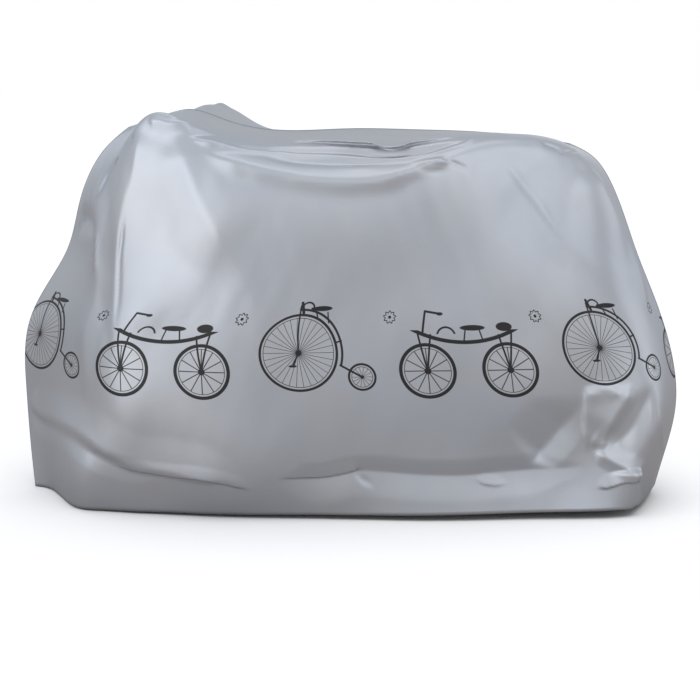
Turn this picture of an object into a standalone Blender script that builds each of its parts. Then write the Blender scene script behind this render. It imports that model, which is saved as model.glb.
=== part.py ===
"""Bicycle cover, draped.

A cover of thin film: a near and a far panel that meet in one seam up the nose, along the
top and down the tail, with a sealing tape laid over that seam and a drawn-in hem at the
foot. Everything is in metres, +Z up. +X runs from the nose to the tail, -Y is the near
side. The origin is the point under the top that the cover hangs from.

A panel is laid out on two cloth coordinates: s runs from the nose seam (0) to the tail
seam (1), and t runs from the lip of the hem (0) to the top seam (1).
"""

import bmesh
import bpy
import numpy as np

# Driving dimensions
CLOTH_THICKNESS = 0.002
LIP_INSET = 0.045        # how far the elastic draws the lip in under the hem
SEAM_FLAT = 0.007        # flat strip of each panel along the seam
SEAM_HALF_GAP = 0.00015
TAPE_WIDTH = 0.013
TAPE_THICKNESS = 0.001
TAPE_LIFT = 0.0003       # clearance between the tape and the panels
SUPPORT_HEIGHT = 1.024   # the support point above the lowest line of the hem
SEAM_SWAY = 0.009        # how far the seam wanders off the middle
SEAM_SWAY_PER_METRE = 3.3
NOSE_TURN = 0.075        # the nose is turned to the far side, as the wheel under it is
NOSE_TURN_FROM = -0.55
NOSE_TURN_OVER = 0.36
NEAR, FAR = -1, 1

# Grid of a panel: cells along and up, and how much closer they stand at the edges
CELLS_ALONG = 50
CELLS_UP = 30
CROWDING = 0.3
LEAST_CREST = 0.008      # crests and troughs are rounded at least this much
END_WIDTH = 0.3          # share of its width that a fold has where it ends
FOLD_FALL = 1.3          # 1 is a straight side, more is a side with a softer foot

# The seam's outline: height and reach of each level at the nose and at the tail
LEVELS = [
    # name       t      nose x  nose z  tail x  tail z
    ("lip",      0.000, -0.885, 0.022,  0.842,  0.044),
    ("floor",    0.045, -0.907, 0.000,  0.862,  0.024),
    ("roll",     0.130, -0.914, 0.100,  0.884,  0.110),
    ("knee",     0.300, -0.922, 0.300,  0.914,  0.290),
    ("band",     0.470, -0.900, 0.500,  0.868,  0.500),
    ("chest",    0.650, -0.786, 0.690,  0.790,  0.690),
    ("shoulder", 0.820, -0.730, 0.860,  0.724,  0.860),
    ("crown",    0.910, -0.676, 0.960,  0.672,  0.942),
    ("ridge",    1.000, -0.600, 1.030,  0.600,  0.985),
]

# Height of the top seam along the cover
RIDGE = [
    # s      z
    (0.000, 1.030), (0.030, 1.042), (0.080, 1.062), (0.140, 1.078), (0.220, 1.050),
    (0.320, 1.024), (0.500, 1.026), (0.650, 1.023), (0.800, 1.016), (0.900, 1.004),
    (0.965, 0.993), (1.000, 0.985),
]

# Sections across a panel: half width at each level, then the heights of the shoulder and
# the crown, which stand up over the handlebar's end
SECTIONS = {
    NEAR: [
        # s     floor  roll   knee   band   chest  should crown  z_sh   z_cr
        (0.000, 0.000, 0.000, 0.000, 0.000, 0.000, 0.000, 0.000, 0.860, 0.960),
        (0.030, 0.034, 0.044, 0.056, 0.068, 0.085, 0.085, 0.058, 0.890, 0.985),
        (0.080, 0.177, 0.202, 0.156, 0.152, 0.185, 0.165, 0.107, 0.956, 1.027),
        (0.126, 0.198, 0.227, 0.229, 0.215, 0.222, 0.196, 0.152, 1.042, 1.066),
        (0.220, 0.207, 0.234, 0.263, 0.261, 0.265, 0.218, 0.160, 1.018, 1.039),
        (0.310, 0.231, 0.266, 0.287, 0.288, 0.282, 0.225, 0.132, 0.966, 1.003),
        (0.500, 0.256, 0.269, 0.280, 0.275, 0.265, 0.216, 0.122, 0.941, 0.993),
        (0.650, 0.272, 0.262, 0.266, 0.264, 0.249, 0.228, 0.161, 0.941, 1.000),
        (0.800, 0.256, 0.236, 0.239, 0.235, 0.222, 0.186, 0.155, 0.940, 1.013),
        (0.900, 0.250, 0.231, 0.209, 0.196, 0.183, 0.158, 0.123, 0.919, 0.999),
        (0.965, 0.160, 0.164, 0.157, 0.113, 0.110, 0.091, 0.063, 0.892, 0.966),
        (1.000, 0.000, 0.000, 0.000, 0.000, 0.000, 0.000, 0.000, 0.860, 0.942),
    ],
    FAR: [
        # s     floor  roll   knee   band   chest  should crown  z_sh   z_cr
        (0.000, 0.000, 0.000, 0.000, 0.000, 0.000, 0.000, 0.000, 0.860, 0.960),
        (0.035, 0.040, 0.050, 0.060, 0.062, 0.070, 0.065, 0.045, 0.880, 0.975),
        (0.090, 0.180, 0.205, 0.170, 0.155, 0.160, 0.140, 0.090, 0.915, 0.998),
        (0.150, 0.235, 0.275, 0.260, 0.255, 0.240, 0.205, 0.125, 0.965, 1.050),
        (0.200, 0.246, 0.290, 0.285, 0.284, 0.275, 0.255, 0.150, 1.025, 1.086),
        (0.250, 0.251, 0.296, 0.292, 0.292, 0.282, 0.265, 0.145, 1.060, 1.072),
        (0.330, 0.252, 0.296, 0.288, 0.280, 0.255, 0.205, 0.112, 0.990, 1.025),
        (0.430, 0.255, 0.298, 0.284, 0.272, 0.232, 0.165, 0.085, 0.940, 0.990),
        (0.600, 0.252, 0.295, 0.280, 0.266, 0.218, 0.145, 0.075, 0.932, 0.984),
        (0.760, 0.242, 0.284, 0.272, 0.252, 0.195, 0.115, 0.058, 0.942, 0.990),
        (0.880, 0.200, 0.240, 0.228, 0.205, 0.150, 0.080, 0.040, 0.930, 0.980),
        (0.960, 0.095, 0.125, 0.128, 0.110, 0.082, 0.045, 0.024, 0.895, 0.960),
        (1.000, 0.000, 0.000, 0.000, 0.000, 0.000, 0.000, 0.000, 0.860, 0.942),
    ],
}

# Main folds. Each follows a route on the cloth. Its height is positive for a ridge and
# negative for a trough, its sides fall away over the widths left and right of the route,
# its crest has the given radius, and it fades in and out over shares of the route, where
# it also narrows.
FOLDS = {
    NEAR: [
        # name, route (s, t)
        # height, left, right, crest, fade in, fade out
        ("column edge", [(0.191, 0.805), (0.216, 0.771), (0.236, 0.745), (0.255, 0.721),
                         (0.271, 0.703), (0.291, 0.678), (0.323, 0.634), (0.372, 0.538)],
         0.016, 0.13, 0.13, 0.002, 0.14, 0.45),
        ("column side", [(0.138, 0.803), (0.133, 0.775), (0.127, 0.743), (0.117, 0.725),
                         (0.111, 0.706), (0.109, 0.678), (0.115, 0.634), (0.129, 0.578),
                         (0.160, 0.459), (0.157, 0.354)],
         0.01, 0.13, 0.045, 0.002, 0.12, 0.3),
        ("nose turn", [(0.059, 0.831), (0.060, 0.763), (0.069, 0.696), (0.079, 0.639),
                       (0.099, 0.563), (0.118, 0.386), (0.106, 0.314)],
         0.012, 0.045, 0.05, 0.004, 0.2, 0.3),
        ("nose notch", [(0.013, 0.740), (0.040, 0.728), (0.072, 0.686)],
         -0.009, 0.045, 0.045, 0.006, 0.02, 0.5),
        ("top sag", [(0.248, 0.808), (0.318, 0.855), (0.394, 0.881), (0.474, 0.881),
                     (0.517, 0.871), (0.566, 0.860), (0.613, 0.863), (0.659, 0.875),
                     (0.710, 0.888), (0.771, 0.902)],
         -0.014, 0.018, 0.06, 0.003, 0.25, 0.3),
        ("swag", [(0.239, 0.800), (0.284, 0.800), (0.327, 0.798), (0.384, 0.793), (0.428, 0.788),
                  (0.475, 0.785), (0.517, 0.786), (0.564, 0.793), (0.597, 0.806), (0.662, 0.830),
                  (0.740, 0.858)],
         0.015, 0.05, 0.042, 0.0015, 0.15, 0.25),
        ("saddle drop", [(0.776, 0.853), (0.760, 0.771), (0.745, 0.698)],
         0.004, 0.06, 0.06, 0.006, 0.3, 0.6),
        ("rear brace", [(0.786, 0.835), (0.808, 0.790), (0.828, 0.760), (0.844, 0.728),
                        (0.862, 0.698), (0.885, 0.668), (0.915, 0.609), (0.939, 0.521)],
         0.004, 0.12, 0.08, 0.002, 0.12, 0.45),
        ("tail edge", [(0.956, 0.855), (0.953, 0.798), (0.969, 0.728), (0.982, 0.661),
                       (0.982, 0.578), (0.972, 0.484)],
         0.014, 0.05, 0.1, 0.003, 0.2, 0.3),
        ("front shelf", [(0.001, 0.269), (0.022, 0.242), (0.043, 0.239), (0.075, 0.240),
                         (0.105, 0.234), (0.140, 0.209), (0.176, 0.180), (0.202, 0.169),
                         (0.244, 0.164), (0.293, 0.152), (0.328, 0.147), (0.367, 0.119)],
         0.01, 0.09, 0.03, 0.002, 0.05, 0.2),
        ("front groove", [(0.001, 0.240), (0.021, 0.219), (0.042, 0.219), (0.075, 0.224),
                          (0.105, 0.214), (0.139, 0.185), (0.175, 0.167), (0.211, 0.157),
                          (0.244, 0.150)],
         -0.006, 0.03, 0.05, 0.002, 0.08, 0.25),
        ("hem shelf", [(0.395, 0.140), (0.437, 0.142), (0.476, 0.145), (0.517, 0.160),
                       (0.587, 0.152), (0.663, 0.145), (0.711, 0.149), (0.762, 0.154),
                       (0.860, 0.160)],
         -0.011, 0.045, 0.07, 0.002, 0.15, 0.12),
        ("rear hollow", [(0.846, 0.329), (0.820, 0.277), (0.796, 0.224), (0.772, 0.165)],
         -0.02, 0.06, 0.13, 0.002, 0.5, 0.2),
        ("box", [(0.846, 0.351), (0.845, 0.280), (0.853, 0.192)],
         0.008, 0.05, 0.012, 0.001, 0.12, 0.3),
        ("box face", [(0.915, 0.357), (0.901, 0.319), (0.884, 0.279), (0.872, 0.222)],
         0.014, 0.03, 0.1, 0.001, 0.25, 0.3),
        ("corner brace", [(0.954, 0.359), (0.937, 0.326), (0.922, 0.284), (0.904, 0.240),
                          (0.882, 0.192)],
         -0.011, 0.06, 0.045, 0.002, 0.4, 0.2),
        ("corner wedge", [(0.862, 0.205), (0.881, 0.184), (0.908, 0.162), (0.929, 0.144),
                          (0.940, 0.132)],
         0.011, 0.045, 0.03, 0.001, 0.25, 0.15),
        ("corner upright", [(0.931, 0.159), (0.940, 0.107), (0.951, 0.053)],
         0.016, 0.02, 0.08, 0.001, 0.15, 0.06),
    ],
    FAR: [
        # name, route (s, t)
        # height, left, right, crest, fade in, fade out
        ("column front", [(0.215, 0.800), (0.195, 0.730), (0.180, 0.660), (0.172, 0.560),
                          (0.168, 0.430), (0.165, 0.330)],
         0.016, 0.15, 0.05, 0.002, 0.15, 0.3),
        ("column rear", [(0.285, 0.810), (0.310, 0.740), (0.345, 0.650), (0.370, 0.540),
                         (0.385, 0.400)],
         0.018, 0.13, 0.13, 0.003, 0.25, 0.6),
        ("nose turn", [(0.060, 0.760), (0.078, 0.680), (0.098, 0.580), (0.110, 0.460),
                       (0.112, 0.360)],
         0.012, 0.045, 0.05, 0.004, 0.3, 0.3),
        ("nose pull", [(0.170, 0.780), (0.110, 0.700), (0.060, 0.600)],
         0.009, 0.05, 0.05, 0.003, 0.25, 0.5),
        ("top sag", [(0.310, 0.870), (0.380, 0.910), (0.470, 0.930), (0.560, 0.920),
                     (0.650, 0.930), (0.750, 0.970)],
         -0.02, 0.045, 0.04, 0.004, 0.25, 0.3),
        ("swag", [(0.290, 0.840), (0.370, 0.810), (0.460, 0.800), (0.550, 0.800), (0.640, 0.830),
                  (0.720, 0.880)],
         0.018, 0.06, 0.08, 0.002, 0.2, 0.35),
        ("saddle drop", [(0.700, 0.870), (0.690, 0.780), (0.660, 0.640), (0.620, 0.500)],
         0.01, 0.09, 0.07, 0.003, 0.25, 0.6),
        ("rear brace", [(0.765, 0.840), (0.800, 0.760), (0.850, 0.670), (0.900, 0.580),
                        (0.930, 0.480)],
         0.015, 0.11, 0.06, 0.002, 0.2, 0.4),
        ("tail edge", [(0.950, 0.870), (0.957, 0.760), (0.962, 0.640), (0.966, 0.500)],
         0.012, 0.04, 0.08, 0.003, 0.2, 0.3),
        ("front shelf", [(0.050, 0.230), (0.110, 0.190), (0.180, 0.180), (0.260, 0.160),
                         (0.350, 0.140)],
         0.013, 0.1, 0.035, 0.003, 0.15, 0.3),
        ("hem shelf", [(0.360, 0.165), (0.470, 0.150), (0.580, 0.158), (0.690, 0.150),
                       (0.790, 0.165), (0.860, 0.185)],
         -0.013, 0.08, 0.06, 0.002, 0.2, 0.2),
        ("side drift", [(0.470, 0.700), (0.520, 0.520), (0.530, 0.340)],
         0.01, 0.16, 0.14, 0.003, 0.35, 0.5),
        ("corner brace", [(0.950, 0.310), (0.900, 0.250), (0.850, 0.190), (0.800, 0.160)],
         0.012, 0.06, 0.08, 0.003, 0.2, 0.3),
    ],
}

ROUTE_STEPS = 8          # straight steps between two points of a fold's route
EDGE_FADE = (0.02, 0.03)  # share of s and of t over which folds die away at the seam
FILM_COLOUR = (0.42, 0.44, 0.47, 1.0)
TAPE_COLOUR = (0.36, 0.38, 0.41, 1.0)
FILM_ROUGHNESS = 0.42


def spline_weights(places, knots):
    """Natural cubic spline: what each knot's value counts for at each place."""
    knots = np.asarray(knots, float)
    count = len(knots)
    step = np.diff(knots)
    smooth = np.eye(count)
    second = np.zeros((count, count))
    for i in range(1, count - 1):
        smooth[i, i - 1:i + 2] = step[i - 1], 2 * (step[i - 1] + step[i]), step[i]
        second[i, i - 1:i + 2] = 6 / step[i - 1], -6 / step[i - 1] - 6 / step[i], 6 / step[i]
    bend = np.linalg.solve(smooth, second)
    span = np.clip(np.searchsorted(knots, places) - 1, 0, count - 2)
    width = step[span][:, None]
    after = (places - knots[span])[:, None] / width
    before = 1 - after
    value = np.eye(count)
    return (before * value[span] + after * value[span + 1]
            + ((before**3 - before) * bend[span] + (after**3 - after) * bend[span + 1])
            * width**2 / 6)


def ease(share):
    """0 to 1 with a soft start and a soft end."""
    share = np.clip(share, 0, 1)
    return share * share * (3 - 2 * share)


def draped(side, s, t):
    """Points of a panel without its folds, from the section and level tables."""
    table = np.array(SECTIONS[side])
    levels = np.array([row[1:] for row in LEVELS])
    ridge = np.array(RIDGE)
    section = spline_weights(s, table[:, 0]) @ table[:, 1:]
    floor, heights = section[:, :1], section[:, 7:]
    top = spline_weights(s, ridge[:, 0]) @ ridge[:, 1:]
    lip = floor - LIP_INSET * np.clip(floor / 0.1, 0, 1)
    half_widths = np.hstack([lip, section[:, :7], 0 * top])
    nose, tail = (1 - s)[:, None], s[:, None]
    reach = nose * levels[:, 1] + tail * levels[:, 3]
    rise = nose * levels[:, 2] + tail * levels[:, 4]
    rise[:, 6:] = np.hstack([heights, top])
    hem = levels[1, 0]
    at_level = np.zeros((len(s), len(levels)))
    at_level[:, 1:] = spline_weights(np.maximum(t, hem), levels[1:, 0])
    turned_in = np.clip(1 - t / hem, 0, 1)[:, None]
    at_level = at_level * (1 - turned_in)
    at_level[:, :1] = turned_in
    x = (reach * at_level).sum(axis=1)
    y = np.maximum((half_widths * at_level).sum(axis=1), 0)
    z = (rise * at_level).sum(axis=1)
    return np.stack([x, side * y, z], axis=1)


def fold_height(side, s, t, points, fold):
    """How far one fold lifts each of the given points of a panel."""
    _name, route, height, left, right, crest, fade_in, fade_out = fold
    crest = max(crest, LEAST_CREST)
    knots = np.arange(len(route))
    along = np.linspace(0, knots[-1], ROUTE_STEPS * knots[-1] + 1)
    cloth = spline_weights(along, knots) @ np.array(route)
    path = draped(side, cloth[:, 0], cloth[:, 1])
    nearest = np.full(len(s), np.inf)
    share = np.zeros(len(s))
    turn = np.zeros(len(s))
    for i, run in enumerate(np.diff(path, axis=0)):
        offset = points - path[i]
        on_run = np.clip(offset @ run / (run @ run), 0, 1)
        distance = np.linalg.norm(offset - on_run[:, None] * run, axis=1)
        closer = distance < nearest
        nearest[closer] = distance[closer]
        share[closer] = (i + on_run[closer]) / (len(path) - 1)
        ds, dt = cloth[i + 1] - cloth[i]
        turn[closer] = (ds * (t - cloth[i, 1]) - dt * (s - cloth[i, 0]))[closer]
    fade = ease(share / fade_in) * ease((1 - share) / fade_out)
    width = np.where(turn > 0, left, right) * (END_WIDTH + (1 - END_WIDTH) * fade)
    away = (np.hypot(nearest, crest) - crest) / width
    return height * np.clip(1 - away, 0, 1) ** FOLD_FALL * fade


def surface(side, s, t):
    """Points of a panel's outer face, with its folds."""
    points = draped(side, s, t)
    nudge = 0.001
    along = draped(side, s + nudge, t) - draped(side, s - nudge, t)
    up = draped(side, s, t + nudge) - draped(side, s, t - nudge)
    outward = np.cross(along, up) * -side
    outward /= np.linalg.norm(outward, axis=1)[:, None] + 1e-12
    lift = sum(fold_height(side, s, t, points, fold) for fold in FOLDS[side])
    edge = ease(np.minimum(np.minimum(s, 1 - s) / EDGE_FADE[0], (1 - t) / EDGE_FADE[1]))
    return points + outward * (lift * edge)[:, None]


def hang(points):
    """Let the seam sway off the middle, turn the nose, and put the origin at the support."""
    x, _y, z = points.T
    sway = SEAM_SWAY * np.sin(SEAM_SWAY_PER_METRE * x) * z
    sway += NOSE_TURN * ease((NOSE_TURN_FROM - x) / NOSE_TURN_OVER) * ease((1 - z) / 0.5)
    return points + np.stack([0 * sway, sway, 0 * sway - SUPPORT_HEIGHT], axis=1)


def crowd(share):
    """Move evenly spread grid lines closer to both edges."""
    return share - CROWDING * np.sin(2 * np.pi * share) / (2 * np.pi)


def material(name, colour):
    film = bpy.data.materials.new(name)
    film.use_nodes = True
    film.diffuse_color = colour
    finish = film.node_tree.nodes["Principled BSDF"]
    finish.inputs["Base Color"].default_value = colour
    finish.inputs["Roughness"].default_value = FILM_ROUGHNESS
    finish.inputs["Metallic"].default_value = 0.0
    return film


def sheet(name, cells, place, thickness, offset, finish, flip=False):
    """A grid whose points `place` moves, given a wall thickness."""
    grid = bmesh.new()
    bmesh.ops.create_grid(grid, x_segments=cells[0], y_segments=cells[1], size=0.5)
    flat = np.array([vert.co for vert in grid.verts])
    column = np.rint((flat[:, 0] + 0.5) * cells[0])
    row = np.rint((flat[:, 1] + 0.5) * cells[1])
    for vert, point in zip(grid.verts, hang(place(column, row))):
        vert.co = point
    bmesh.ops.remove_doubles(grid, verts=grid.verts, dist=0.00001)
    if flip:
        bmesh.ops.reverse_faces(grid, faces=grid.faces)
    mesh = bpy.data.meshes.new(name)
    grid.to_mesh(mesh)
    grid.free()
    mesh.shade_smooth()
    piece = bpy.data.objects.new(name, mesh)
    piece.data.materials.append(finish)
    wall = piece.modifiers.new("wall", "SOLIDIFY")
    wall.thickness = thickness
    wall.offset = offset
    return piece


def panel(name, side):
    """One side of the cover. Its edge on the seam is a flat strip square to the seam."""
    last_column, last_row = CELLS_ALONG, CELLS_UP

    def place(column, row):
        s = crowd(np.clip((column - 1) / (last_column - 2), 0, 1))
        t = crowd(np.clip(row / (last_row - 1), 0, 1))
        points = surface(side, s, t)
        on_seam = (column == 0) | (column == last_column) | (row == last_row)
        points[:, 1] += side * (SEAM_HALF_GAP + np.where(on_seam, 0, SEAM_FLAT))
        return points

    return sheet(name, (last_column, last_row), place, CLOTH_THICKNESS, -1,
                 material(name, FILM_COLOUR), flip=side == FAR)


def seam_stations():
    """The seam's points up the nose, along the top and down the tail."""
    up = crowd(np.linspace(0, 1, CELLS_UP))
    along = crowd(np.linspace(0, 1, CELLS_ALONG - 1))[1:-1]
    s = np.concatenate([0 * up, along, 0 * up + 1])
    t = np.concatenate([up, 0 * along + 1, up[::-1]])
    return draped(NEAR, s, t)


def seam_tape():
    """The tape over the seam, standing off the panels by its lift."""
    seam = seam_stations()
    step = np.diff(seam, axis=0)
    square = np.stack([-step[:, 2], 0 * step[:, 0], step[:, 0]], axis=1)
    square /= np.linalg.norm(square, axis=1)[:, None]
    outward = np.vstack([square[:1], square[1:] + square[:-1], square[-1:]])
    outward /= np.linalg.norm(outward, axis=1)[:, None]

    def place(column, row):
        station = column.astype(int)
        points = seam[station] + outward[station] * TAPE_LIFT
        points[:, 1] = (row - 0.5) * TAPE_WIDTH
        return points

    return sheet("seam_tape", (len(seam) - 1, 1), place, TAPE_THICKNESS, 1,
                 material("seam_tape", TAPE_COLOUR))


def build():
    for old in list(bpy.data.objects):
        bpy.data.objects.remove(old)
    cover = bpy.data.collections.new("bicycle_cover")
    bpy.context.scene.collection.children.link(cover)
    for piece in (panel("panel_near", NEAR), panel("panel_far", FAR), seam_tape()):
        cover.objects.link(piece)


build()
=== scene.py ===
"""Bicycle cover of silver film, draped over what it keeps dry.

The script follows the cover as it is made: two printed panels of film, the tape that seals
their seam, and then a plain studio. Everything is in metres in the frame of the solids: +X
runs from the nose to the tail, -Y is the near side, +Z is up, and the origin is the point
under the top that the cover hangs from.
"""

import math

import bmesh
import bpy
import numpy as np
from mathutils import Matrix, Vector


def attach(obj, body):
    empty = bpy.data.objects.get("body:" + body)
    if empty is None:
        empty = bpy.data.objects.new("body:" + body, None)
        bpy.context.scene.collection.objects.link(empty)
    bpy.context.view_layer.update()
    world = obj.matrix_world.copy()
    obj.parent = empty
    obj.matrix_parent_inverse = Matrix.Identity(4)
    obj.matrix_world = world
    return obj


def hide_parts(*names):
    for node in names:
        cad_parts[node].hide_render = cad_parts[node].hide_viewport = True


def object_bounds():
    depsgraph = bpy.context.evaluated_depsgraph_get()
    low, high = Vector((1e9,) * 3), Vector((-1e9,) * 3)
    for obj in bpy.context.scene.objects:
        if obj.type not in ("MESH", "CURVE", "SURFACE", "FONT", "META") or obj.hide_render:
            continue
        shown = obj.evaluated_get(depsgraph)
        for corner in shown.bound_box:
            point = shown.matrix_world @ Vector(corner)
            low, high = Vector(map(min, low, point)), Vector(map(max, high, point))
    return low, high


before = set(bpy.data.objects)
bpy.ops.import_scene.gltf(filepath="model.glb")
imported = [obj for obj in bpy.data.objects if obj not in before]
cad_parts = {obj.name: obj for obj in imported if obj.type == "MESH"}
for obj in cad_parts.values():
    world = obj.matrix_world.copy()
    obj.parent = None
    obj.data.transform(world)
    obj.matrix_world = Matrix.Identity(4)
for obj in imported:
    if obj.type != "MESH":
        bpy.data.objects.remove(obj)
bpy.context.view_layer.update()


# ---------------------------------------------------------------------------
# The two panels of film.
# Each is one sheet of silver film, cut wider and taller than what it covers, and welded
# to the other one up the nose, along the top and down the tail. An elastic in the folded
# hem draws its foot in. It hangs from the handlebar and the saddle, with soft folds
# between them and a shelf of slack above the hem.
# ---------------------------------------------------------------------------

FILM_WALL = 0.0008       # the wall as modelled, a little thicker than real film
LIP_INSET = 0.045        # how far the elastic draws the lip in under the hem
LIP_FREE = 0.1           # half width of the foot over which the lip is drawn in by all of it
SEAM_FLAT = 0.007        # flat strip of each panel along the seam
SEAM_HALF_GAP = 0.00015
SUPPORT_HEIGHT = 1.024   # the support point above the lowest line of the hem
SEAM_SWAY = 0.009        # how far the seam wanders off the middle
SEAM_SWAY_PER_METRE = 3.3
NOSE_TURN = 0.075        # the nose is turned to the far side, as the wheel under it is
NOSE_TURN_FROM = -0.55
NOSE_TURN_OVER = 0.36
NOSE_TURN_BELOW = 0.5    # how far down from the top the turn has grown to all of it
NEAR, FAR = -1, 1

# A panel is laid out on two cloth coordinates: s runs from the nose seam (0) to the tail
# seam (1), and t from the lip of the hem (0) to the top seam (1).
LEVELS = [
    # name       t      nose x  nose z  tail x  tail z
    ("lip",      0.000, -0.885, 0.022,  0.842,  0.044),
    ("floor",    0.045, -0.907, 0.000,  0.862,  0.024),
    ("roll",     0.130, -0.914, 0.100,  0.884,  0.110),
    ("knee",     0.300, -0.922, 0.300,  0.914,  0.290),
    ("band",     0.470, -0.900, 0.500,  0.868,  0.500),
    ("chest",    0.650, -0.786, 0.690,  0.790,  0.690),
    ("shoulder", 0.820, -0.730, 0.860,  0.724,  0.860),
    ("crown",    0.910, -0.676, 0.960,  0.672,  0.942),
    ("ridge",    1.000, -0.600, 1.030,  0.600,  0.985),
]

# Height of the top seam along the cover
RIDGE = [
    # s      z
    (0.000, 1.030), (0.030, 1.042), (0.080, 1.062), (0.140, 1.078), (0.220, 1.050),
    (0.320, 1.024), (0.500, 1.026), (0.650, 1.023), (0.800, 1.016), (0.900, 1.004),
    (0.965, 0.993), (1.000, 0.985),
]

# Sections across a panel: half width at each level, then the heights of the shoulder and
# the crown, which stand up over the handlebar's end
SECTIONS = {
    NEAR: [
        # s     floor  roll   knee   band   chest  should crown  z_sh   z_cr
        (0.000, 0.000, 0.000, 0.000, 0.000, 0.000, 0.000, 0.000, 0.860, 0.960),
        (0.030, 0.034, 0.044, 0.056, 0.068, 0.085, 0.085, 0.058, 0.890, 0.985),
        (0.080, 0.177, 0.202, 0.156, 0.152, 0.185, 0.165, 0.107, 0.956, 1.027),
        (0.126, 0.198, 0.227, 0.229, 0.215, 0.222, 0.196, 0.152, 1.042, 1.066),
        (0.220, 0.207, 0.234, 0.263, 0.261, 0.265, 0.218, 0.160, 1.018, 1.039),
        (0.310, 0.231, 0.266, 0.287, 0.288, 0.282, 0.225, 0.132, 0.966, 1.003),
        (0.500, 0.256, 0.269, 0.280, 0.275, 0.265, 0.216, 0.122, 0.941, 0.993),
        (0.650, 0.272, 0.262, 0.266, 0.264, 0.249, 0.228, 0.161, 0.941, 1.000),
        (0.800, 0.256, 0.236, 0.239, 0.235, 0.222, 0.186, 0.155, 0.940, 1.013),
        (0.900, 0.250, 0.231, 0.209, 0.196, 0.183, 0.158, 0.123, 0.919, 0.999),
        (0.965, 0.160, 0.164, 0.157, 0.113, 0.110, 0.091, 0.063, 0.892, 0.966),
        (1.000, 0.000, 0.000, 0.000, 0.000, 0.000, 0.000, 0.000, 0.860, 0.942),
    ],
    FAR: [
        # s     floor  roll   knee   band   chest  should crown  z_sh   z_cr
        (0.000, 0.000, 0.000, 0.000, 0.000, 0.000, 0.000, 0.000, 0.860, 0.960),
        (0.035, 0.040, 0.050, 0.060, 0.062, 0.070, 0.065, 0.045, 0.880, 0.975),
        (0.090, 0.180, 0.205, 0.170, 0.155, 0.160, 0.140, 0.090, 0.915, 0.998),
        (0.150, 0.235, 0.275, 0.260, 0.255, 0.240, 0.205, 0.125, 0.965, 1.050),
        (0.200, 0.246, 0.290, 0.285, 0.284, 0.275, 0.255, 0.150, 1.025, 1.086),
        (0.250, 0.251, 0.296, 0.292, 0.292, 0.282, 0.265, 0.145, 1.060, 1.072),
        (0.330, 0.252, 0.296, 0.288, 0.280, 0.255, 0.205, 0.112, 0.990, 1.025),
        (0.430, 0.255, 0.298, 0.284, 0.272, 0.232, 0.165, 0.085, 0.940, 0.990),
        (0.600, 0.252, 0.295, 0.280, 0.266, 0.218, 0.145, 0.075, 0.932, 0.984),
        (0.760, 0.242, 0.284, 0.272, 0.252, 0.195, 0.115, 0.058, 0.942, 0.990),
        (0.880, 0.200, 0.240, 0.228, 0.205, 0.150, 0.080, 0.040, 0.930, 0.980),
        (0.960, 0.095, 0.125, 0.128, 0.110, 0.082, 0.045, 0.024, 0.895, 0.960),
        (1.000, 0.000, 0.000, 0.000, 0.000, 0.000, 0.000, 0.000, 0.860, 0.942),
    ],
}

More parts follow.
